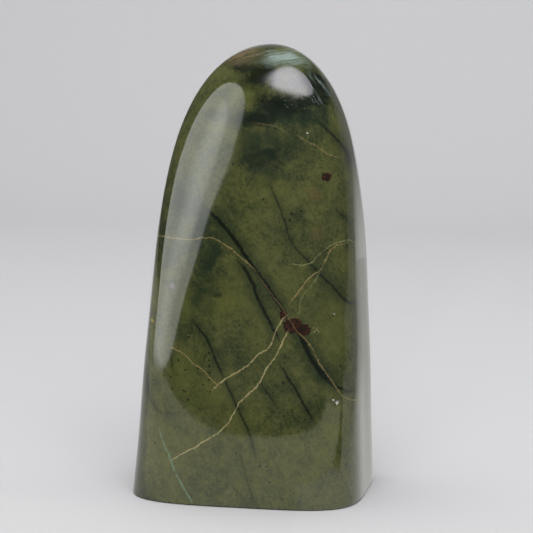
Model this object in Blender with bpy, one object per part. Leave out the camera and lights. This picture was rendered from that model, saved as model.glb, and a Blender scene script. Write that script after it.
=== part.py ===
"""Polished serpentine tower: one freeform stone, ground to a rounded point on a sawn flat base.

Metres, +Z up. The broad front face looks towards -Y and the stone stands on z = 0.
Every vertex lies on one shape function, which is set by the named sizes below.
Each side of the stone has its own size and curve, because it was ground by hand.
"""

import math

import bmesh
import bpy

# Whole stone
HEIGHT = 0.130

# How far each side lies from the upright line under the tip: at the base,
# then where the same side would end up at tip height if it weren't rounded over.
RIGHT_REACH = (0.0285, 0.0244)
LEFT_REACH = (0.0393, 0.0284)
FRONT_REACH = (0.0273, 0.0190)
BACK_REACH = (0.0235, 0.0177)

# How late each side turns in to the tip: a higher power stays straight for longer
RIGHT_POWER = 6.60
LEFT_POWER = 6.85
FRONT_POWER = 5.06
BACK_POWER = 5.00

# Bow of the two narrow sides at half height: out to the right, hollow to the left
RIGHT_BOW = 0.0005
LEFT_BOW = -0.0011

# Squareness of the four upright edges at the base and near the top:
# 2 is a plain ellipse, and higher is a tighter corner
FRONT_RIGHT_EDGE = (4.15, 3.10)
FRONT_LEFT_EDGE = (3.80, 2.46)
FRONT_LEFT_EDGE_MIDDLE = 1.83
BACK_RIGHT_EDGE = (5.40, 3.00)
BACK_LEFT_EDGE = (3.50, 2.50)
TIP_SQUARENESS = 2.3

# Slow unevenness left by grinding and polishing by hand
UNEVEN_DEPTH = 0.0002
UNEVEN_LENGTH = 0.034

# Broken edge around the sawn base
BASE_CHAMFER = 0.0004

# Mesh: squares along one side of the cap, rings below the cap, and where the cap starts
CAP_SEGMENTS = 22
SIDE_RINGS = 40
SHOULDER = 0.84

SHARP_ANGLE = math.radians(35)


def clear_scene():
    for item in list(bpy.data.objects):
        bpy.data.objects.remove(item, do_unlink=True)


def make_material():
    material = bpy.data.materials.new("polished_serpentine")
    material.use_nodes = True
    shader = material.node_tree.nodes["Principled BSDF"]
    shader.inputs["Base Color"].default_value = (0.046, 0.052, 0.026, 1.0)
    shader.inputs["Roughness"].default_value = 0.1
    shader.inputs["Metallic"].default_value = 0.0
    material.diffuse_color = (0.046, 0.052, 0.026, 1.0)
    material.roughness = 0.1
    return material


def side_distance(reach, power, level, bow=0.0):
    """Distance from the tip line to one side, at a level from 0 (base) to 1 (tip)."""
    straight = reach[0] + (reach[1] - reach[0]) * level + bow * math.sin(math.pi * level)
    return straight * math.sqrt(max(1.0 - level ** power, 0.0))


def edge_squareness(edge, level, middle=0.0):
    """Squareness of one upright edge, which fades to that of the tip near the top."""
    body = edge[0] + (edge[1] - edge[0]) * level + middle * math.sin(math.pi * level)
    near_tip = level ** 10
    return body * (1.0 - near_tip) + TIP_SQUARENESS * near_tip


def squareness(angle, level):
    """Blend of the four edges' squareness, by how nearly the angle faces each edge."""
    edges = (
        (-45.0, edge_squareness(FRONT_RIGHT_EDGE, level)),
        (-135.0, edge_squareness(FRONT_LEFT_EDGE, level, FRONT_LEFT_EDGE_MIDDLE)),
        (45.0, edge_squareness(BACK_RIGHT_EDGE, level)),
        (135.0, edge_squareness(BACK_LEFT_EDGE, level)),
    )
    total = 0.0
    weights = 0.0
    for facing, value in edges:
        weight = max(0.0, math.cos(angle - math.radians(facing))) ** 2
        total += weight * value
        weights += weight
    return total / weights


def unevenness(angle, level):
    """Small in and out of the surface: three slow waves that cross each other."""
    along = level * HEIGHT / UNEVEN_LENGTH * math.tau
    wave = (
        math.sin(along * 0.9 + 2.0 * angle + 0.6)
        + math.sin(along * 0.6 - 3.0 * angle + 2.1)
        + math.sin(along * 0.3 + 5.0 * angle + 4.0)
    )
    return UNEVEN_DEPTH * wave / 3.0 * (1.0 - level ** 4)


def surface_point(angle, level):
    """Point on the stone's surface, at an angle around the tip line and a level."""
    right = side_distance(RIGHT_REACH, RIGHT_POWER, level, RIGHT_BOW)
    left = side_distance(LEFT_REACH, LEFT_POWER, level, LEFT_BOW)
    front = side_distance(FRONT_REACH, FRONT_POWER, level)
    back = side_distance(BACK_REACH, BACK_POWER, level)

    power = squareness(angle, level)
    cosine = math.cos(angle)
    sine = math.sin(angle)
    stretch = (abs(cosine) ** power + abs(sine) ** power) ** (-1.0 / power)
    uneven = unevenness(angle, level)

    x = (right - left) / 2.0 + ((right + left) / 2.0 * stretch + uneven) * cosine
    y = (back - front) / 2.0 + ((back + front) / 2.0 * stretch + uneven) * sine
    return x, y, level * HEIGHT


def cap_place(a, b):
    """Angle and level of a place on a square from -1 to 1, laid over the tip.

    The square covers the cap as the top face of a cube covers a ball, so its
    corners reach further down than the middles of its sides.
    """
    across = math.tan(math.pi / 4.0 * a)
    along = math.tan(math.pi / 4.0 * b)
    lean = math.atan(math.hypot(across, along))
    drop = (1.0 - math.cos(lean)) / (1.0 - math.cos(math.pi / 4.0))
    return math.atan2(along, across) % math.tau, 1.0 - (1.0 - SHOULDER) * drop


def add_cap(mesh):
    """A square grid over the tip. Returns its border as (vertex, angle, level), in order."""
    grid = bmesh.ops.create_grid(mesh, x_segments=CAP_SEGMENTS, y_segments=CAP_SEGMENTS, size=1.0)
    border = []
    for vertex in grid["verts"]:
        on_border = max(abs(vertex.co.x), abs(vertex.co.y)) > 1.0 - 1e-6
        angle, level = cap_place(vertex.co.x, vertex.co.y)
        vertex.co = surface_point(angle, level)
        if on_border:
            border.append((vertex, angle, level))
    border.sort(key=lambda item: item[1])
    return border


def add_sides(mesh, border):
    """Rings of squares pulled down from the cap's border to the base. Returns the last ring."""
    ring = [vertex for vertex, angle, level in border]
    count = len(ring)
    for step in range(1, SIDE_RINGS + 1):
        edges = [mesh.edges.get((ring[i], ring[(i + 1) % count])) for i in range(count)]
        place = {vertex: index for index, vertex in enumerate(ring)}
        pulled = bmesh.ops.extrude_edge_only(mesh, edges=edges)
        below = [item for item in pulled["geom"] if isinstance(item, bmesh.types.BMVert)]
        ring = [None] * count
        for vertex in below:
            neighbours = [edge.other_vert(vertex) for edge in vertex.link_edges]
            index = next(place[neighbour] for neighbour in neighbours if neighbour in place)
            angle, level = border[index][1:]
            vertex.co = surface_point(angle, level * (1.0 - step / SIDE_RINGS))
            ring[index] = vertex
    return ring


def close_base(mesh, ring):
    """The sawn base: one flat face with a small chamfer around it."""
    base = mesh.faces.new(ring)
    bmesh.ops.recalc_face_normals(mesh, faces=mesh.faces[:])
    bmesh.ops.bevel(
        mesh,
        geom=list(base.edges),
        offset=BASE_CHAMFER,
        offset_type="OFFSET",
        segments=1,
        profile=0.5,
        affect="EDGES",
    )


def centre_on_origin(mesh):
    """Move the stone so that the middle of its outline stands on the origin."""
    xs = [vertex.co.x for vertex in mesh.verts]
    ys = [vertex.co.y for vertex in mesh.verts]
    shift_x = (min(xs) + max(xs)) / 2.0
    shift_y = (min(ys) + max(ys)) / 2.0
    for vertex in mesh.verts:
        vertex.co.x -= shift_x
        vertex.co.y -= shift_y


def smooth_shading(mesh):
    """Shade the polished skin smooth and keep the edge of the base crisp."""
    for face in mesh.faces:
        face.smooth = True
    for edge in mesh.edges:
        edge.smooth = edge.calc_face_angle(0.0) < SHARP_ANGLE


def make_stone():
    mesh = bmesh.new()
    border = add_cap(mesh)
    ring = add_sides(mesh, border)
    close_base(mesh, ring)
    centre_on_origin(mesh)
    bmesh.ops.recalc_face_normals(mesh, faces=mesh.faces[:])
    smooth_shading(mesh)

    data = bpy.data.meshes.new("serpentine_tower")
    mesh.to_mesh(data)
    mesh.free()
    stone = bpy.data.objects.new("serpentine_tower", data)
    bpy.context.collection.objects.link(stone)
    data.materials.append(make_material())
    return stone


clear_scene()
make_stone()
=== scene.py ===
"""Polished serpentine tower: the stone's polished skin and its markings, on a pale table."""

import math

import bpy
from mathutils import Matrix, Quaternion, Vector


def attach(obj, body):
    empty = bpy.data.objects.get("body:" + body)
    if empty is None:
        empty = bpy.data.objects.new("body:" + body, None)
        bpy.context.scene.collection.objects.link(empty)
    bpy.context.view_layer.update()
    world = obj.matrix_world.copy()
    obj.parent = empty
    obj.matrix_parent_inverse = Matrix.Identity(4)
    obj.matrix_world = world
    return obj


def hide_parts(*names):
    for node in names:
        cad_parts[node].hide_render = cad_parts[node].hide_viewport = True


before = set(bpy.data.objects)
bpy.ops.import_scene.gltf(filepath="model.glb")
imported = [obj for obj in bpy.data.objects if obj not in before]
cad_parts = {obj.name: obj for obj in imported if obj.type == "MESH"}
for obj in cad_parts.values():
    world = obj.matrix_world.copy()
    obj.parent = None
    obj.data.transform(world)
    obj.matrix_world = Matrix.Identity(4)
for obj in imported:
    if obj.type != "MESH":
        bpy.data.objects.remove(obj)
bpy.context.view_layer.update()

stone_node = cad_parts["serpentine_tower"]

# Camera: where it stands round the stone, and what it looks at, in metres and degrees
CAMERA_TARGET = (0.0040, 0.0002, 0.0656)
CAMERA_TURN = 11.88
CAMERA_HEIGHT = 8.94
CAMERA_DISTANCE = 0.6075
CAMERA_LENS = 141.3

# Lengths in a material, and in the tables of markings, are in millimetres
MILLIMETRES = 1000.0

# Skin, in metres: how close two corners are before they are one, what counts as the flat
# base and as a level edge round it, and how finely the skin is divided
MERGE_DISTANCE = 0.000001
BASE_HEIGHT = 0.00001
BASE_EDGE_HEIGHT = 0.0006
LEVEL_EDGE = 0.0001
SKIN_LEVELS = 2
SMOOTH_ANGLE = math.radians(30)

# Chips: how far round each one the skin is divided more finely, for each unit of its radius
CHIP_SURROUNDINGS = 1.8

# Polish: how much serpentine bends light, and how rough its polish is
BENDING = 1.60
POLISH_ROUGHNESS = 0.055

# Pits in the polish: how many cells lie along a millimetre, and depth in metres
PIT_CELLS = 1.5
PIT_DEPTH = 0.00006

# The front of the stone leans back as it rises, and markings are placed on that plane:
# its depth at the table in millimetres, and how much it leans for each millimetre of height
FRONT_DEPTH = -25.0
FRONT_LEAN = 0.065

# Sheet of paper that the stone stands on, in metres. It lies a hair below the stone.
PAPER_LEFT = -0.50
PAPER_RIGHT = 0.13
PAPER_FRONT = -0.215
PAPER_BACK = 0.90
PAPER_LEVEL = -0.00005
PAPER_RISE = 1.8
PAPER_CURVE = 0.35
PAPER_GREY = (0.45, 0.447, 0.457, 1.0)

# Grey of the room where it lights the stone, and where the polish mirrors it
ROOM_LIGHT = (0.5, 0.5, 0.51, 1.0)
ROOM_MIRRORED = (0.06, 0.06, 0.065, 1.0)

# Lamps: name, place, what each one points at, width, depth and power, in metres and watts
LAMPS = [
    ("backdrop_lamp", (-0.2, 0.25, 0.9), (-0.2, 0.85, 0.35), 1.4, 0.5, 4.2),
    ("overhead_lamp", (-0.05, -0.05, 1.0), (0.0, 0.0, 0.0), 0.8, 0.8, 4.9),
    ("key_lamp", (0.16, -0.43, 0.77), (0.0, 0.0, 0.05), 0.6, 0.3, 2.4),
    ("front_lamp", (0.2, -0.9, 0.75), (0.0, -0.1, 0.0), 1.0, 0.6, 6.1),
]

# Cards that the polish mirrors: the point in the stone that the softbox and the key light face,
# the heights of the flat cards, which differ where they overlap, and tints and brightness
STONE_MIDDLE = Vector((0.0, 0.0, 0.06))
TABLE_CARD_LEVEL = 0.0002
WHITE_CARD_LEVEL = 0.0003
SOFTBOX_TINT = (0.985, 1.0, 0.98, 1.0)
KEY_TINT = (0.96, 0.93, 1.06, 1.0)
TABLE_TINT = (1.0, 0.98, 0.78, 1.0)
WHITE_CARD_TINT = (1.0, 0.99, 0.98, 1.0)
SOFTBOX_BRIGHTNESS = 2.85
STREAK_BRIGHTNESS = 1.5
KEY_BRIGHTNESS = 7.5
TABLE_BRIGHTNESS = 0.74
FAR_TABLE_BRIGHTNESS = 0.78

# Colour sockets of a Mix node
MIX_FIRST = 6
MIX_SECOND = 7
MIX_RESULT = 2


def colour(red, green, blue):
    """A colour as a photo shows it, from 0 to 255, turned into the light that makes it."""
    def linear(level):
        part = level / 255.0
        if part <= 0.04045:
            return part / 12.92
        return ((part + 0.055) / 1.055) ** 2.4
    return (linear(red), linear(green), linear(blue), 1.0)


# Colours of the stone and its markings
BODY_DARK = colour(45, 52, 31)
BODY_LIGHT = colour(75, 77, 42)
BODY_FLECK = colour(88, 92, 56)
PALE_GREEN = colour(84, 87, 44)
DARK_GREEN = colour(30, 40, 28)
BAND_BLACK = colour(17, 22, 17)
TIP_BROWN = colour(104, 88, 70)
TIP_MINT = colour(122, 137, 130)
INCLUSION_DARK = colour(24, 18, 15)
INCLUSION_RED = colour(56, 30, 23)
SPECK_BLACK = colour(14, 17, 16)
CREAM = colour(160, 150, 108)
TAN = colour(142, 124, 82)
SAGE = colour(128, 130, 92)
TEAL = colour(96, 124, 104)
CHIP_WHITE = colour(226, 226, 218)
LAVENDER = colour(132, 112, 134)
GOLD = colour(150, 128, 56)
BROWN = colour(96, 78, 52)

# Zones of another colour: centre and half widths in millimetres, and strength
PALE_ZONES = [
    ((-1.0, -10.0, 117.0), (6.0, 8.0, 5.0), 0.5),
    ((0.0, -15.0, 105.0), (4.0, 8.0, 4.0), 0.4),
    ((9.0, -18.0, 91.5), (6.0, 8.0, 4.5), 0.4),
    ((-3.0, -21.0, 59.0), (9.0, 8.0, 4.0), 0.5),
    ((-8.0, -23.0, 33.0), (7.0, 8.0, 5.0), 0.3),
    ((27.0, -18.0, 52.0), (7.0, 9.0, 13.0), 0.4),
    ((-15.5, -22.3, 38.0), (6.0, 8.0, 9.0), 0.45),
    ((-14.5, -21.5, 58.3), (3.6, 6.0, 6.5), 0.5),
]
DARK_ZONES = [
    ((11.0, -12.0, 112.0), (16.0, 10.0, 5.6), 1.0),
    ((7.5, -16.0, 99.5), (7.0, 8.0, 4.0), 1.0),
    ((8.0, -15.0, 103.0), (15.0, 9.0, 11.0), 0.65),
    ((-8.0, -20.4, 71.5), (5.0, 8.0, 9.0), 0.9),
    ((-11.0, -19.0, 80.0), (5.0, 8.0, 9.0), 1.0),
    ((5.0, -16.0, 98.0), (9.0, 8.0, 6.5), 0.8),
    ((3.5, -13.2, 108.9), (8.5, 7.0, 4.8), 1.0),
    ((3.5, -15.0, 103.0), (7.0, 8.0, 5.5), 0.8),
    ((17.0, -18.5, 82.5), (3.5, 4.0, 3.0), 0.7),
    ((24.5, -20.0, 38.5), (3.2, 6.0, 3.6), 0.7),
    ((-10.0, -21.0, 61.0), (6.0, 8.0, 5.0), 0.7),
    ((-17.0, -16.0, 87.0), (5.0, 9.0, 8.0), 0.8),
    ((-8.5, -12.0, 110.5), (5.5, 7.0, 2.6), 0.8),
    ((-5.7, -21.2, 61.0), (1.8, 4.0, 1.6), 0.9),
    ((-23.0, -14.0, 72.0), (4.0, 9.0, 16.0), 0.5),
]
TIP_BLACK = [
    ((4.0, -8.0, 121.5), (6.5, 7.0, 5.5), 0.9),
    ((-0.5, -6.8, 123.5), (6.0, 4.5, 2.4), 0.8),
    ((1.0, -4.0, 126.0), (14.0, 9.0, 3.6), 0.45),
    ((21.0, -6.0, 118.5), (6.5, 8.0, 7.5), 0.95),
    ((12.0, -11.5, 114.0), (13.0, 7.0, 4.0), 0.8),
    ((4.5, -13.4, 109.3), (6.0, 5.0, 2.8), 0.7),
    ((3.0, 1.0, 130.2), (16.0, 12.0, 2.8), 0.55),
    ((7.0, -15.6, 99.3), (7.0, 8.0, 3.8), 0.35),
]

# Streaked parts of the tip: centre and half widths in millimetres
BROWN_STREAKS = ((-1.5, -3.2, 127.0), (8.5, 6.0, 3.2))
MINT_STREAKS = ((11.0, -4.2, 126.4), (10.0, 6.0, 3.2))
RIGHT_STREAKS = ((20.8, -4.2, 118.6), (5.0, 6.0, 7.0))

# Where the polish is worn or pitted: centre and half widths in millimetres
WORN_POLISH = ((15.0, -8.0, 119.0), (14.0, 11.0, 9.0))
PITTED_POLISH = ((17.5, -11.0, 114.5), (9.0, 6.0, 3.2))

# Dark bands: line on the front face as (x, z) in millimetres, width, dip and strength
DARK_BANDS = [
    ([(-9, 84.5), (-4.4, 80.1), (-0.3, 75.2), (3.6, 70.0), (7.5, 65.0), (10.8, 60.4), (14.4, 55)],
     1.5, 0.2, 1.0),
    ([(15.8, 53), (18.3, 49.6), (20.4, 45.2), (22.4, 41.6), (25, 38.2), (27.4, 35.6)], 1.9, 0.0, 1.0),
    ([(25, 38.2), (27.4, 36), (29.4, 34.2), (32, 32.8)], 1.0, 0.0, 0.9),
    ([(0.7, 69.9), (4, 65), (6.1, 59.7), (8.5, 55.3), (10.4, 51.6), (12.0, 48.8)], 1.2, 0.2, 1.0),
    ([(12.7, 41.1), (15.3, 37.2), (18.2, 32.8), (20.7, 28.6), (22.5, 25.8)], 0.9, 0.2, 0.9),
    ([(-12.3, 52.5), (-9.7, 49.3), (-7.6, 45.9), (-5.8, 41.7), (-3.7, 37.3)], 0.8, 0.2, 0.9),
    ([(-3.7, 37.3), (-1, 31.7), (1.7, 26.4), (4, 21.4), (6, 14.4)], 0.8, 0.2, 0.75),
    ([(8.7, 91.6), (11.2, 86.9), (13.3, 81.7), (15.4, 75.9), (20, 70.7), (24, 66)], 0.5, 0.1, 0.7),
    ([(20, 70.7), (22.7, 67.6), (27.3, 62.6), (30, 58.9), (32.5, 57.2)], 0.9, 0.0, 0.8),
    ([(7.3, 35.8), (9.9, 32.2), (11.4, 30)], 0.6, 0.2, 0.7),
    ([(0.5, 17), (1.8, 14), (3.3, 9.1), (4.8, 4.3), (6.9, 0.9)], 0.5, 0.2, 0.5),
    ([(-1.3, 6.8), (1.9, 3.3), (3.7, 0.8)], 0.5, 0.2, 0.5),
    ([(20.5, 109), (22.5, 107.7), (26.6, 103.1), (28.5, 99.5), (29.4, 95.5)], 0.8, 0.0, 0.8),
    ([(-28.2, 39.6), (-27.2, 35), (-25.5, 29.6), (-22.8, 26.3), (-21.1, 25.7)], 0.4, 0.0, 0.9),
    ([(-19.4, 44.2), (-18.9, 41.4), (-18.4, 38.6)], 0.3, 0.0, 0.7),
    ([(26.8, 84.6), (28.4, 83), (29.8, 81.4)], 0.5, 0.0, 0.6),
    ([(-21, 28), (-19.5, 26), (-17, 26.5)], 1.4, 0.0, 0.5),
]

# Red-brown lumps: centre and half widths in millimetres
INCLUSIONS = [
    ((13.4, -21.5, 55.3), (1.3, 2.0, 1.6)),
    ((16.2, -21.5, 52.8), (2.9, 3.0, 2.3)),
    ((19.2, -21.3, 51.4), (2.2, 2.5, 1.9)),
    ((24.4, -14.0, 93.8), (1.7, 1.8, 1.3)),
]

# Veins: line on the front face as (x, z) in millimetres, width, dip, strength and colour
VEINS = [
    ([(31.8, 73.0), (30.6, 75.3), (28.6, 75.7), (26.5, 75.2), (24.9, 74.2), (22.4, 71.9), (20.6, 70.2),
      (15.6, 69.8)],
     0.26, 0.0, 0.65, SAGE),
    ([(28.4, 75.4), (26, 74.4), (24.5, 71.1), (23.2, 68.4), (21.4, 67), (18.5, 63.4), (15.5, 59.5)],
     0.34, -0.1, 0.8, TAN),
    ([(23.2, 68.4), (22, 65.4), (18.7, 60.9), (17.8, 56.2)], 0.2, -0.1, 0.4, SAGE),
    ([(-24.5, 77.6), (-20.1, 76.6), (-14.3, 76.1), (-7.2, 76.4), (-3.1, 74.3), (0.7, 71.6), (4.5, 68.4)],
     0.28, 0.3, 0.65, TAN),
    ([(4.5, 68.4), (7.2, 64.8), (10.6, 60.5), (13.3, 56.9), (17.9, 50.2)], 0.2, 0.3, 0.3, TAN),
    ([(17.9, 50.2), (21.3, 46.6), (23.2, 42.6), (25.9, 38.6), (28.3, 34.4), (30.1, 31.9), (33.5, 29.5)],
     0.24, 0.0, 0.55, TAN),
    ([(14, 55), (11.4, 51.2), (9.7, 46.6), (5.7, 43.6), (3.7, 41), (0.3, 38.9), (-2.6, 37), (-6.3, 33.8)],
     0.32, -0.2, 0.75, CREAM),
    ([(14.8, 51), (13.1, 47.3), (11.2, 43.3), (8.7, 39.8), (6.7, 35.7), (3.9, 32.8), (1, 29.8),
      (-0.9, 26.3), (-2.9, 23.1), (-5.5, 20.7), (-8.4, 19.1), (-11.3, 16.9), (-14.9, 15), (-18.5, 12.9)],
     0.34, -0.2, 0.8, CREAM),
    ([(-19.7, 45), (-14.9, 43.1), (-12.5, 40.9), (-9.5, 39), (-6.3, 35.5), (-4.8, 34.7)],
     0.26, 0.2, 0.6, TAN),
    ([(-22.6, 20.9), (-20.4, 15.9), (-18.2, 11), (-17.2, 8.7), (-15.1, 5.4), (-12.3, 1)],
     0.5, 0.0, 0.7, TEAL),
    ([(4, 109), (6.8, 108.6), (9.4, 108.1), (12.3, 106.7)], 0.24, 0.1, 0.25, TAN),
    ([(16.5, 105), (18.2, 104), (21.6, 102.1), (24, 100.4), (27.2, 98.7)], 0.24, 0.0, 0.4, TAN),
]

# Chips out of the polish: place on the surface, radius and depth in millimetres
CHIPS = [
    ((28.4, -19.3, 30.3), 0.9, 0.25),
    ((27.2, -18.0, 55.4), 0.6, 0.15),
    ((18.4, -13.1, 106.2), 0.5, 0.1),
]

# Single spots: centre and half widths in millimetres, strength and colour
SPOTS = [
    ((28.4, -19.3, 30.3), (0.5, 1.0, 0.65), 0.75, CHIP_WHITE),
    ((27.3, -19.3, 31.4), (0.4, 1.0, 0.3), 0.6, CHIP_WHITE),
    ((27.2, -18.0, 55.4), (0.5, 1.0, 0.3), 0.45, CHIP_WHITE),
    ((18.4, -13.1, 106.2), (0.25, 1.0, 0.2), 0.4, CHIP_WHITE),
    ((-18.9, -20.2, 62.4), (0.9, 1.5, 1.0), 0.45, LAVENDER),
    ((-25.8, -17.8, 51.8), (1.4, 2.0, 0.5), 0.8, GOLD),
    ((21.9, -20.8, 51.9), (0.35, 1.0, 0.25), 0.5, CREAM),
    ((22.8, -20.6, 51.5), (0.3, 1.0, 0.3), 0.45, CREAM),
    ((22.2, -20.8, 50.9), (0.4, 1.0, 0.25), 0.4, CREAM),
    ((23.3, -20.4, 51.0), (0.25, 1.0, 0.25), 0.4, CREAM),
    ((21.2, -16.5, 88.9), (2.4, 3.0, 2.6), 0.3, BROWN),
    ((22.2, -17.8, 78.3), (2.2, 3.0, 2.4), 0.25, BROWN),
]

# Larger black grains on the front face: their places, outer radius and solid core in millimetres
LARGE_SPECKS = [
    (-8.0, -22.4, 43.9), (-7.8, -22.5, 41.9), (-7.8, -22.7, 40.2), (-7.6, -22.8, 38.3),
    (-7.8, -23.0, 36.3), (-7.4, -23.2, 32.9), (-22.9, -20.4, 48.3), (-24.5, -20.8, 35.1),
    (-16.8, -22.3, 41.5), (-11.0, -22.7, 39.4), (-13.9, -22.0, 48.2), (-15.1, -23.0, 33.0),
    (-13.9, -23.3, 30.3), (-18.8, -22.7, 33.2), (-9.5, -23.2, 34.8), (5.2, -22.2, 53.5),
    (3.0, -22.6, 45.5), (0.5, -22.5, 43.0), (5.5, -19.8, 86.8), (26.2, -12.5, 97.0),
    (22.6, -14.5, 96.5), (19.5, -15.6, 92.5), (23.4, -14.6, 91.2), (15.2, -18.5, 83.7),
    (17.2, -18.3, 82.0), (24.0, -14.2, 96.8), (17.7, -18.1, 84.6), (14.6, -18.8, 81.8),
]
LARGE_SPECK_RADIUS = 0.42
LARGE_SPECK_CORE = 0.14


def deselect_all():
    bpy.ops.object.select_all(action="DESELECT")


def select_only(piece):
    deselect_all()
    piece.select_set(True)
    bpy.context.view_layer.objects.active = piece


# Shader maths

class Value:
    """An output socket that adds Math nodes when it stands in an expression."""

    def __init__(self, paint, socket):
        self.paint = paint
        self.socket = socket

    def math(self, operation, *others):
        return self.paint.math(operation, self, *others)

    def __add__(self, other):
        return self.paint.math("ADD", self, other)

    def __radd__(self, other):
        return self.paint.math("ADD", other, self)

    def __sub__(self, other):
        return self.paint.math("SUBTRACT", self, other)

    def __rsub__(self, other):
        return self.paint.math("SUBTRACT", other, self)

    def __mul__(self, other):
        return self.paint.math("MULTIPLY", self, other)

    def __rmul__(self, other):
        return self.paint.math("MULTIPLY", other, self)

    def __truediv__(self, other):
        return self.paint.math("DIVIDE", self, other)

    def __rtruediv__(self, other):
        return self.paint.math("DIVIDE", other, self)

    def __abs__(self):
        return self.paint.math("ABSOLUTE", self)


class Paint:
    """The nodes of one material."""

    def __init__(self, name):
        self.material = bpy.data.materials.new(name)
        self.material.use_nodes = True
        self.tree = self.material.node_tree
        self.shader = self.tree.nodes["Principled BSDF"]

    def node(self, kind, settings=None, sockets=None, output=0):
        """Add a node: its settings first, then its sockets' values or links."""
        node = self.tree.nodes.new(kind)
        for name, value in (settings or {}).items():
            setattr(node, name, value)
        for name, value in (sockets or {}).items():
            self.feed(node.inputs[name], value)
        return Value(self, node.outputs[output])

    def feed(self, socket, value):
        if isinstance(value, Value):
            self.tree.links.new(value.socket, socket)
        else:
            socket.default_value = value

    def math(self, operation, *values):
        return self.node("ShaderNodeMath", {"operation": operation}, dict(enumerate(values)))

    def vector(self, operation, *values, output=0):
        sockets = dict(enumerate(values))
        return self.node("ShaderNodeVectorMath", {"operation": operation}, sockets, output)

    def dot(self, place, direction):
        return self.vector("DOT_PRODUCT", place, direction, output="Value")

    def noise(self, place, size, detail=2.0, roughness=0.5, output="Fac"):
        """Soft noise whose lumps are about as large as size, in millimetres."""
        sockets = {
            "Vector": place,
            "Scale": 1.0 / size,
            "Detail": detail,
            "Roughness": roughness,
        }
        return self.node("ShaderNodeTexNoise", None, sockets, output)

    def cells(self, place, scale):
        """Distance to the nearest of many scattered points, and that point's random colour."""
        sockets = {"Vector": place, "Scale": scale}
        distance = self.node("ShaderNodeTexVoronoi", None, sockets, "Distance")
        return distance, Value(self, distance.socket.node.outputs["Color"])

    def fade(self, value, low, high):
        """0 at low and 1 at high, with a smooth step between. Low may be above high."""
        settings = {"interpolation_type": "SMOOTHSTEP"}
        sockets = {"Value": value, "From Min": low, "From Max": high}
        return self.node("ShaderNodeMapRange", settings, sockets)

    def most(self, values):
        """The greatest of several values."""
        total = values[0]
        for value in values[1:]:
            total = total.math("MAXIMUM", value)
        return total

    def mix(self, amount, first, second):
        """Blend of two colours: the first at amount 0, the second at amount 1."""
        sockets = {"Factor": amount, MIX_FIRST: first, MIX_SECOND: second}
        return self.node("ShaderNodeMix", {"data_type": "RGBA"}, sockets, MIX_RESULT)


# Markings in the stone. Each is a sheet or a lump that goes on through the solid.

def sheet(paint, place, points, dip, ends=1.5):
    """Distance from a wandering sheet, and 1 between its ends and 0 past them.

    The sheet meets the front face along the points, which are (x, z) in
    millimetres. Dip is how far it moves across itself for each millimetre back,
    and ends is how far it fades to both sides of its first and last point.
    """
    start = points[0]
    finish = points[-1]
    length = math.dist(start, finish)
    along = ((finish[0] - start[0]) / length, (finish[1] - start[1]) / length)
    across = (-along[1], along[0])

    distance_along = paint.dot(place, (along[0], 0.0, along[1]))
    offset_along = start[0] * along[0] + start[1] * along[1]
    ratio = (distance_along - offset_along) / length

    normal = (across[0], dip, across[1] - dip * FRONT_LEAN)
    offset_across = start[0] * across[0] + start[1] * across[1] + dip * FRONT_DEPTH
    distance_across = paint.dot(place, normal) - offset_across

    shaped = paint.node("ShaderNodeFloatCurve", None, {"Value": ratio})
    mapping = shaped.socket.node.mapping
    curve = mapping.curves[0]
    places = []
    for x, z in points:
        along_here = (x - start[0]) * along[0] + (z - start[1]) * along[1]
        across_here = (x - start[0]) * across[0] + (z - start[1]) * across[1]
        places.append((along_here / length, 0.5 + across_here / length))
    curve.points[0].location = places[0]
    curve.points[1].location = places[-1]
    for spot in places[1:-1]:
        curve.points.new(*spot)
    mapping.update()
    centre = (shaped - 0.5) * length

    edge = ends / length
    begin = paint.fade(ratio, -edge, edge)
    stop = paint.fade(ratio, 1.0 + edge, 1.0 - edge)
    return abs(distance_across - centre), begin * stop


def line(paint, measured, width, blur):
    """1 on a measured sheet of that width, 0 away from it, with sides as soft as the blur."""
    gap, inside = measured
    return paint.fade(gap, width / 2.0 + blur, max(width / 2.0 - blur, 0.0)) * inside


def patch(paint, place, centre, size, raggedness, core=0.5, rim=1.1):
    """1 inside a ragged lump at centre, 0 outside it. Size is its half width on x, y and z."""
    moved = paint.vector("SUBTRACT", place, centre)
    scaled = paint.vector("DIVIDE", moved, size)
    distance = paint.vector("LENGTH", scaled, output="Value")
    return paint.fade(distance + raggedness, rim, core)


class Grain:
    """Places inside the stone in millimetres, and the noises that its markings share.

    Near, rough and far are places shifted by noises: a little, unevenly and a lot.
    """

    def __init__(self, paint):
        object_place = paint.node("ShaderNodeTexCoord", output="Object")
        self.place = paint.vector("MULTIPLY", object_place, (MILLIMETRES, MILLIMETRES, MILLIMETRES))
        self.mottle = paint.noise(self.place, 4.0, detail=4.0, roughness=0.6)
        self.fine = paint.noise(self.place, 0.8, detail=3.0, roughness=0.65)
        self.near = self.moved(paint, self.place, 3.0, 0.9)
        self.rough = self.moved(paint, self.near, 0.7, 0.8)
        self.far = self.moved(paint, self.place, 7.0, 7.0)
        self.streak = self.streaks(paint, (0.53, 0.0, -0.85), (0.85, 0.3, 0.53), 0.16, 1.1)

    def moved(self, paint, place, size, amount):
        """Places shifted by a noise, so that no marking has a ruled edge."""
        wander = paint.noise(self.place, size, detail=3.0, output="Color")
        shift = paint.vector("SUBTRACT", wander, (0.5, 0.5, 0.5))
        return paint.vector("ADD", place, paint.vector("MULTIPLY", shift, (amount, amount, amount)))

    def streaks(self, paint, along, across, slow, quick):
        """Noise that changes slowly along one direction and quickly across it."""
        sockets = {
            "X": paint.dot(self.near, along) * slow,
            "Y": paint.dot(self.near, across) * quick,
            "Z": paint.dot(self.near, (0.0, 1.0, 0.0)) * 0.25,
        }
        stretched = paint.node("ShaderNodeCombineXYZ", None, sockets)
        return paint.noise(stretched, 1.0, detail=4.0, roughness=0.6)


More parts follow.
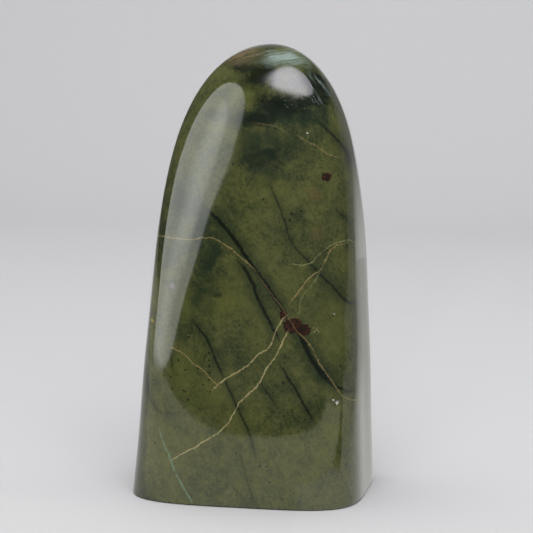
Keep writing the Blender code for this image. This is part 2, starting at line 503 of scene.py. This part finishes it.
def stone_material():
    paint = Paint("polished_serpentine")
    grain = Grain(paint)
    tone = body_colour(paint, grain)
    tone = add_zones(paint, grain, tone)
    tone = add_tip(paint, grain, tone)
    tone = add_bands(paint, grain, tone)
    tone = add_inclusions(paint, grain, tone)
    tone = add_veins(paint, grain, tone)
    tone = add_specks(paint, grain, tone)
    tone = add_spots(paint, grain, tone)
    paint.feed(paint.shader.inputs["Base Color"], tone)
    polish(paint, grain)
    return paint.material


def body_colour(paint, grain):
    """Quiet olive with slow, weak clouds."""
    clouds = paint.noise(grain.far, 16.0, detail=4.0, roughness=0.55)
    small = paint.noise(grain.place, 1.9, detail=4.0, roughness=0.65)
    mixed = clouds + (grain.mottle - 0.5) * 0.45 + (grain.streak - 0.5) * 0.25 + (small - 0.5) * 0.6
    tone = paint.mix(paint.fade(mixed, 0.26, 0.74), BODY_DARK, BODY_LIGHT)
    tone = paint.mix(paint.fade(grain.fine, 0.42, 0.72) * 0.4, tone, BODY_FLECK)
    return paint.mix(paint.fade(grain.fine, 0.48, 0.24) * 0.4, tone, DARK_GREEN)


def add_zones(paint, grain, tone):
    """Darker green and paler yellow-green zones, with soft mottled edges."""
    ragged = (grain.mottle - 0.5) * 1.5 + (grain.fine - 0.5) * 0.5
    pale = paint.most([
        patch(paint, grain.far, centre, size, ragged, 0.2, 1.15) * strength
        for centre, size, strength in PALE_ZONES
    ])
    tone = paint.mix(pale, tone, PALE_GREEN)
    dark = paint.most([
        patch(paint, grain.far, centre, size, ragged, 0.1, 1.25) * strength
        for centre, size, strength in DARK_ZONES
    ])
    return paint.mix(dark, tone, DARK_GREEN)


def add_tip(paint, grain, tone):
    """Brown and pale mint streaks over the tip, between black bands."""
    ragged = (grain.mottle - 0.5) * 1.4 + (grain.fine - 0.5) * 0.4
    level = grain.streaks(paint, (0.96, 0.0, 0.28), (-0.28, 0.3, 0.91), 0.07, 1.3)
    falling = grain.streaks(paint, (0.6, 0.14, -0.78), (0.78, 0.0, 0.6), 0.10, 1.5)
    black = paint.most([
        patch(paint, grain.near, centre, size, ragged, 0.35, 1.1) * strength
        for centre, size, strength in TIP_BLACK
    ])
    tone = paint.mix(black, tone, BAND_BLACK)
    brown = patch(paint, grain.near, *BROWN_STREAKS, ragged, 0.2, 1.2)
    tone = paint.mix(brown * paint.fade(level, 0.36, 0.60) * 0.9, tone, TIP_BROWN)
    mint = patch(paint, grain.near, *MINT_STREAKS, ragged, 0.0, 1.25)
    tone = paint.mix(mint * (paint.fade(level, 0.36, 0.62) * 0.95 + 0.15), tone, TIP_MINT)
    right = patch(paint, grain.near, *RIGHT_STREAKS, ragged, 0.4, 1.1)
    return paint.mix(right * paint.fade(falling, 0.46, 0.70) * 0.55, tone, TIP_MINT)


def add_bands(paint, grain, tone):
    """Dark green-black bands that cross the stone from upper left to lower right."""
    feather = paint.fade(grain.streak + (grain.mottle - 0.5) * 0.5, 0.16, 0.46)
    halos = []
    cores = []
    for points, width, dip, strength in DARK_BANDS:
        band = sheet(paint, grain.rough, points, dip, 3.0)
        halos.append(line(paint, band, width * 2.4 + 0.8, 1.5) * strength)
        cores.append(line(paint, band, width * 0.7, 0.3) * strength)
    tone = paint.mix(paint.most(halos) * feather * 0.55, tone, DARK_GREEN)
    return paint.mix(paint.most(cores) * (feather * 0.6 + 0.35), tone, BAND_BLACK)


def add_inclusions(paint, grain, tone):
    """Red-brown lumps, the largest where the veins meet."""
    ragged = (grain.mottle - 0.5) * 1.0 + (grain.fine - 0.5) * 0.8
    lumps = paint.most([
        patch(paint, grain.near, centre, size, ragged, 0.85, 1.05)
        for centre, size in INCLUSIONS
    ])
    rust = paint.mix(paint.fade(grain.fine, 0.35, 0.65), INCLUSION_DARK, INCLUSION_RED)
    return paint.mix(lumps * 0.95, tone, rust)


def add_veins(paint, grain, tone):
    """Thin cream, tan and pale teal veins, worn thin here and there."""
    worn = paint.fade(grain.fine * 0.7 + grain.mottle * 0.5, 0.42, 0.66) * 0.75 + 0.25
    for points, width, dip, strength, vein_colour in VEINS:
        vein = line(paint, sheet(paint, grain.rough, points, dip), width, 0.17)
        tone = paint.mix(vein * worn * strength, tone, vein_colour)
    return tone


def grains(paint, place, size, smallest, spread, wanted):
    """Single grains, one to a cell of that size, where the wanted share of the cells has one."""
    distance, choice = paint.cells(place, 1.0 / size)
    chance = paint.dot(choice, (1.0, 0.0, 0.0))
    radius = paint.dot(choice, (0.0, spread, 0.0)) + smallest
    return paint.fade(distance, radius, radius * 0.4) * paint.fade(chance - wanted, 0.02, -0.02)


def add_specks(paint, grain, tone):
    """Small black grains all through the stone, and the few larger ones that stand out."""
    uneven = grain.moved(paint, grain.place, 0.9, 0.7)
    crowding = paint.noise(grain.place, 12.0, detail=3.0)
    small = grains(paint, uneven, 2.2, 0.08, 0.16, paint.fade(crowding, 0.42, 0.72)) * 0.85
    tiny = grains(paint, uneven, 1.2, 0.07, 0.14, paint.fade(crowding, 0.35, 0.80)) * 0.6
    gaps = [paint.vector("DISTANCE", uneven, centre, output="Value") for centre in LARGE_SPECKS]
    large = paint.most([paint.fade(gap, LARGE_SPECK_RADIUS, LARGE_SPECK_CORE) for gap in gaps])
    return paint.mix(paint.most([small, tiny, large * 0.9]), tone, SPECK_BLACK)


def add_spots(paint, grain, tone):
    """Single spots: pale chips, a lavender mark, a gold fleck, cream flecks and brown stains."""
    for centre, size, strength, spot_colour in SPOTS:
        spot = patch(paint, grain.near, centre, size, (grain.fine - 0.5) * 2.2, 0.4, 1.1)
        tone = paint.mix(spot * strength, tone, spot_colour)
    return tone


def polish(paint, grain):
    """A high polish, a little uneven over the tip and pitted just below it."""
    worn = patch(paint, grain.place, *WORN_POLISH, 0.0, 0.3, 1.1)
    dull = worn * paint.fade(grain.mottle, 0.35, 0.65) * 0.09
    paint.feed(paint.shader.inputs["Roughness"], POLISH_ROUGHNESS + dull)
    paint.feed(paint.shader.inputs["IOR"], BENDING)

    pitted = patch(paint, grain.near, *PITTED_POLISH, (grain.mottle - 0.5) * 1.2, 0.3, 1.1)
    distance, choice = paint.cells(grain.place, PIT_CELLS)
    chance = paint.dot(choice, (1.0, 0.0, 0.0))
    pits = paint.fade(distance, 0.32, 0.12) * paint.fade(chance, 0.45, 0.55) * pitted
    sockets = {"Height": 1.0 - pits, "Distance": PIT_DEPTH, "Strength": 0.7}
    bump = paint.node("ShaderNodeBump", None, sockets, "Normal")
    paint.feed(paint.shader.inputs["Normal"], bump)


# Skin

def sink_chip(skin, place, radius, depth):
    """Push a small hollow into the skin, where it is first divided more finely."""
    found, middle, outward, index = skin.closest_point_on_mesh(Vector(place) / MILLIMETRES)
    surroundings = radius * CHIP_SURROUNDINGS / MILLIMETRES
    bpy.ops.object.mode_set(mode="EDIT")
    bpy.ops.mesh.select_mode(type="FACE")
    bpy.ops.mesh.select_all(action="DESELECT")
    bpy.ops.object.mode_set(mode="OBJECT")
    for face in skin.data.polygons:
        face.select = (face.center - middle).length < surroundings
    bpy.ops.object.mode_set(mode="EDIT")
    bpy.ops.mesh.subdivide(number_cuts=3)
    bpy.ops.mesh.select_all(action="DESELECT")
    bpy.ops.mesh.select_mode(type="VERT")
    bpy.ops.object.mode_set(mode="OBJECT")
    nearest = min(skin.data.vertices, key=lambda vertex: (vertex.co - middle).length)
    nearest.select = True
    bpy.ops.object.mode_set(mode="EDIT")
    bpy.ops.transform.translate(
        value=tuple(outward * (-depth / MILLIMETRES)),
        use_proportional_edit=True,
        proportional_edit_falloff="SPHERE",
        proportional_size=radius / MILLIMETRES,
    )
    bpy.ops.object.mode_set(mode="OBJECT")


def make_skin():
    """The polished skin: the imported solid's own surface, merged, squared and rounded finely."""
    select_only(stone_node)
    bpy.ops.object.duplicate()
    skin = bpy.context.view_layer.objects.active
    skin.name = "polished_skin"
    skin.data.name = "polished_skin"
    bpy.ops.mesh.customdata_custom_splitnormals_clear()

    bpy.ops.object.mode_set(mode="EDIT")
    bpy.ops.mesh.select_mode(type="FACE")
    bpy.ops.mesh.select_all(action="SELECT")
    bpy.ops.mesh.remove_doubles(threshold=MERGE_DISTANCE)
    bpy.ops.mesh.tris_convert_to_quads(
        face_threshold=math.pi,
        shape_threshold=math.pi,
        topology_influence=1.3,
    )
    bpy.ops.mesh.select_all(action="DESELECT")
    bpy.ops.object.mode_set(mode="OBJECT")
    for face in skin.data.polygons:
        face.select = face.center.z < BASE_HEIGHT
    bpy.ops.object.mode_set(mode="EDIT")
    bpy.ops.mesh.dissolve_faces()
    bpy.ops.mesh.select_all(action="DESELECT")
    bpy.ops.mesh.select_mode(type="EDGE")
    bpy.ops.object.mode_set(mode="OBJECT")
    for edge in skin.data.edges:
        ends = [skin.data.vertices[index].co.z for index in edge.vertices]
        edge.select = max(ends) < BASE_EDGE_HEIGHT and abs(ends[0] - ends[1]) < LEVEL_EDGE
    bpy.ops.object.mode_set(mode="EDIT")
    bpy.ops.transform.edge_crease(value=1.0)
    bpy.ops.mesh.select_all(action="DESELECT")
    bpy.ops.object.mode_set(mode="OBJECT")

    rounding = skin.modifiers.new("rounding", "SUBSURF")
    rounding.levels = SKIN_LEVELS
    rounding.render_levels = SKIN_LEVELS
    bpy.ops.object.modifier_apply(modifier="rounding")
    for place, radius, depth in CHIPS:
        sink_chip(skin, place, radius, depth)
    bpy.ops.object.shade_smooth_by_angle(angle=SMOOTH_ANGLE)

    skin.data.materials.clear()
    skin.data.materials.append(stone_material())
    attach(skin, "root")
    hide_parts("serpentine_tower")


# Stage

def direction(turn, height):
    """Unit vector from the stone, turned from the front towards its right, and raised."""
    turn = math.radians(turn)
    height = math.radians(height)
    return Vector((
        math.sin(turn) * math.cos(height),
        -math.cos(turn) * math.cos(height),
        math.sin(height),
    ))


def make_camera():
    data = bpy.data.cameras.new("camera")
    data.lens = CAMERA_LENS
    data.sensor_width = 36.0
    data.clip_start = 0.01
    data.clip_end = 50.0
    camera = bpy.data.objects.new("camera", data)
    bpy.context.collection.objects.link(camera)
    away = direction(CAMERA_TURN, CAMERA_HEIGHT)
    camera.location = Vector(CAMERA_TARGET) + away * CAMERA_DISTANCE
    camera.rotation_euler = (-away).to_track_quat("-Z", "Y").to_euler()
    bpy.context.scene.camera = camera


def glow_material(name, tint, centre, sideways, upwards, shape):
    """Glowing cloth. Its brightness is shaped by the distances from its centre, in metres."""
    paint = Paint(name)
    place = paint.node("ShaderNodeTexCoord", output="Object")
    moved = paint.vector("SUBTRACT", place, centre)
    across = paint.dot(moved, sideways)
    along = paint.dot(moved, upwards)
    sockets = {"Color": tint, "Strength": shape(paint, across, along)}
    light = paint.node("ShaderNodeEmission", None, sockets)
    output = paint.tree.nodes["Material Output"]
    paint.tree.links.new(light.socket, output.inputs["Surface"])
    return paint.material


def make_card(name, centre, turned, size, tint, shape):
    """A glowing card that the polish mirrors. The lamps do the lighting."""
    deselect_all()
    bpy.ops.mesh.primitive_plane_add(size=1.0)
    card = bpy.context.view_layer.objects.active
    card.name = name
    card.scale = (size[0], size[1], 1.0)
    bpy.ops.object.transform_apply(location=False, rotation=False, scale=True)
    card.location = centre
    card.rotation_euler = turned.to_euler()
    bpy.ops.object.transform_apply(location=True, rotation=True, scale=True)
    sideways = turned @ Vector((1.0, 0.0, 0.0))
    upwards = turned @ Vector((0.0, 1.0, 0.0))
    card.data.materials.append(glow_material(name, tint, centre, sideways, upwards, shape))
    card.visible_camera = False
    card.visible_diffuse = False
    card.visible_shadow = False


def oblong(paint, across, along, half_width, half_height):
    """0 in the middle of an oblong with soft corners, and 1 on its outline."""
    wide = abs(across / half_width).math("POWER", 2.5)
    tall = abs(along / half_height).math("POWER", 2.5)
    return wide + tall


def side_glow(paint, across, along):
    """A softbox: brightest along a streak that slants at its foot, and dimmer on its right rim."""
    outline = oblong(paint, across - along * 0.04 + 0.003, along - 0.01, 0.285, 0.31)
    foot = paint.fade(abs(across + 0.145), 0.15, 0.14) * paint.fade(abs(along + 0.16), 0.16, 0.12)
    box = paint.most([paint.fade(outline, 1.03, 0.97), foot])
    slant = (-0.15 - along).math("MAXIMUM", 0.0) * 1.8
    low = paint.fade(along, -0.14, -0.22)
    streak = paint.fade(abs(across - 0.14 + slant), 0.15, 0.0) * (1.0 - low * 0.35)
    inner = oblong(paint, across + 0.075, along + 0.04, 0.30, 0.235)
    rim = paint.fade(inner, 0.85, 1.1) * paint.fade(across, -0.02, 0.12)
    return box * (SOFTBOX_BRIGHTNESS + streak * STREAK_BRIGHTNESS) * (1.0 - rim * 0.3)


def top_glow(paint, across, along):
    """An oval of light: crisp at its lower edge, softer and dimmer towards its top and right."""
    wide = across / 0.42
    tall = (along + 0.01) / 0.19
    distance = (wide * wide + tall * tall).math("SQRT")
    edge = paint.fade(along, 0.0, -0.06) * 0.17 + 0.75
    high = paint.fade(along, 0.02, 0.17) * 1.6
    right = paint.fade(across, -0.10, 0.32) * 3.6
    return paint.fade(distance, 1.05, edge) * (KEY_BRIGHTNESS - high - right)


def front_glow(paint, across, along):
    """The lit table in front of the stone, a little brighter close to the stone's foot.

    Its front edge runs forward to both sides and is softer at the right.
    """
    left = (0.08 - across).math("MAXIMUM", 0.0) * 0.55
    right = (across - 0.08).math("MAXIMUM", 0.0) * 0.42
    soft = paint.fade(across, 0.26, 0.42) * 0.03
    top = paint.fade(along + left + right, 0.027 - soft * 0.5, 0.035 + soft)
    foot = paint.fade(along, 0.098, 0.198) * paint.fade(across, 0.14, 0.02) * 0.25
    return top * (paint.fade(across, 0.15, -0.05) * 0.16 + TABLE_BRIGHTNESS + foot)


def left_glow(paint, across, along):
    """The same table far out to the left, dimmer towards the back."""
    return FAR_TABLE_BRIGHTNESS - paint.fade(along, -0.20, 0.40) * 0.4


def floor_glow(paint, across, along):
    """A card on the floor at the stone's right side, which fades out at its front edge.

    It is white close to the stone and behind a slanting line, and dim elsewhere.
    """
    behind = paint.fade(across - along * 0.53, -0.334, -0.374)
    close = paint.fade(across, -0.349, -0.429)
    full = paint.most([behind, close])
    near = paint.fade(along, -0.255, -0.245) * paint.fade(across, -0.10, -0.25)
    far = paint.fade(along, -0.25, -0.05)
    inside = paint.most([near, far, paint.fade(across, -0.406, -0.436)])
    white = paint.fade(along, 0.005, -0.135) * 0.18 + 0.64
    dim = paint.fade(along, -0.10, -0.22) * 0.26 + 0.36
    return inside * (full * (white - dim) + dim)


def wall_glow(paint, across, along):
    """A card that is white at its foot on the left, and dim elsewhere."""
    near = paint.fade(across, -0.225, -0.265)
    tall = paint.fade(along, 0.20, 0.05) * 0.20
    foot = paint.fade(along, -0.11, -0.21) * 0.62
    side = paint.fade(along, -0.06, -0.14) * 0.12
    return tall + near * foot + (1.0 - near) * side


def make_cards():
    facing = direction(-50.0, 0.0).to_track_quat("Z", "Y")
    middle = STONE_MIDDLE + facing @ Vector((0.035, 0.25, 0.45))
    make_card("softbox", middle, facing, (0.62, 0.70), SOFTBOX_TINT, side_glow)

    facing = direction(20.0, 55.0).to_track_quat("Z", "Y")
    middle = STONE_MIDDLE + facing @ Vector((0.105, 0.115, 0.8))
    rolled = facing @ Quaternion((0.0, 0.0, 1.0), math.radians(14.0))
    make_card("key_light", middle, rolled, (0.94, 0.46), KEY_TINT, top_glow)

    flat = Quaternion()
    upright = Quaternion((1.0, 0.0, 0.0), math.radians(90.0))
    middle = Vector((-0.1, -0.238, TABLE_CARD_LEVEL))
    make_card("front_card", middle, flat, (0.82, 0.424), TABLE_TINT, front_glow)
    middle = Vector((-1.505, 0.30, TABLE_CARD_LEVEL))
    make_card("left_card", middle, flat, (1.99, 1.80), TABLE_TINT, left_glow)
    middle = Vector((0.509, 0.215, WHITE_CARD_LEVEL))
    make_card("right_floor_card", middle, flat, (0.98, 0.57), WHITE_CARD_TINT, floor_glow)
    middle = Vector((0.5425, 0.50, 0.20))
    make_card("right_wall_card", middle, upright, (0.915, 0.40), WHITE_CARD_TINT, wall_glow)


def make_lamp(name, place, target, width, depth, power):
    """A soft lamp that lights the paper and the stone, but isn't mirrored by the polish."""
    data = bpy.data.lights.new(name, "AREA")
    data.shape = "RECTANGLE"
    data.size = width
    data.size_y = depth
    data.energy = power
    lamp = bpy.data.objects.new(name, data)
    bpy.context.collection.objects.link(lamp)
    lamp.location = place
    away = Vector(place) - Vector(target)
    lamp.rotation_euler = away.to_track_quat("Z", "Y").to_euler()
    lamp.visible_glossy = False
    lamp.visible_camera = False


def paper_material():
    paint = Paint("pale_paper")
    paint.feed(paint.shader.inputs["Base Color"], PAPER_GREY)
    paint.feed(paint.shader.inputs["Roughness"], 0.9)
    paint.feed(paint.shader.inputs["Specular IOR Level"], 0.2)
    return paint.material


def make_paper():
    """A sheet of pale paper: it ends just in front of the stone and curves up behind it."""
    deselect_all()
    bpy.ops.mesh.primitive_plane_add(size=1.0)
    paper = bpy.context.view_layer.objects.active
    paper.name = "paper"
    paper.scale = (PAPER_RIGHT - PAPER_LEFT, PAPER_BACK - PAPER_FRONT, 1.0)
    paper.location = ((PAPER_LEFT + PAPER_RIGHT) / 2.0, (PAPER_FRONT + PAPER_BACK) / 2.0, PAPER_LEVEL)
    bpy.ops.object.transform_apply(location=True, rotation=True, scale=True)
    bpy.ops.object.mode_set(mode="EDIT")
    bpy.ops.mesh.select_mode(type="EDGE")
    bpy.ops.mesh.select_all(action="DESELECT")
    bpy.ops.object.mode_set(mode="OBJECT")
    for edge in paper.data.edges:
        edge.select = all(paper.data.vertices[index].co.y > 0.0 for index in edge.vertices)
    bpy.ops.object.mode_set(mode="EDIT")
    bpy.ops.mesh.extrude_region_move(TRANSFORM_OT_translate={"value": (0.0, 0.0, PAPER_RISE)})
    bpy.ops.mesh.select_all(action="DESELECT")
    bpy.ops.object.mode_set(mode="OBJECT")
    for edge in paper.data.edges:
        ends = [paper.data.vertices[index].co for index in edge.vertices]
        edge.select = all(end.y > 0.0 and end.z < 0.1 for end in ends)
    bpy.ops.object.mode_set(mode="EDIT")
    bpy.ops.mesh.bevel(affect="EDGES", offset=PAPER_CURVE, segments=16)
    bpy.ops.object.mode_set(mode="OBJECT")
    bpy.ops.object.shade_smooth()
    paper.data.materials.append(paper_material())


def make_world():
    """An even grey room, which the polish itself reflects as nearly black."""
    world = bpy.data.worlds.new("studio")
    bpy.context.scene.world = world
    world.use_nodes = True
    nodes = world.node_tree.nodes
    links = world.node_tree.links
    background = nodes["Background"]
    path = nodes.new("ShaderNodeLightPath")
    switch = nodes.new("ShaderNodeMix")
    switch.data_type = "RGBA"
    links.new(path.outputs["Is Glossy Ray"], switch.inputs["Factor"])
    switch.inputs[MIX_FIRST].default_value = ROOM_LIGHT
    switch.inputs[MIX_SECOND].default_value = ROOM_MIRRORED
    links.new(switch.outputs[MIX_RESULT], background.inputs["Color"])
    background.inputs["Strength"].default_value = 1.0


make_camera()
make_paper()
make_world()
make_cards()
for lamp in LAMPS:
    make_lamp(*lamp)
bpy.context.scene.view_settings.view_transform = "Standard"
make_skin()
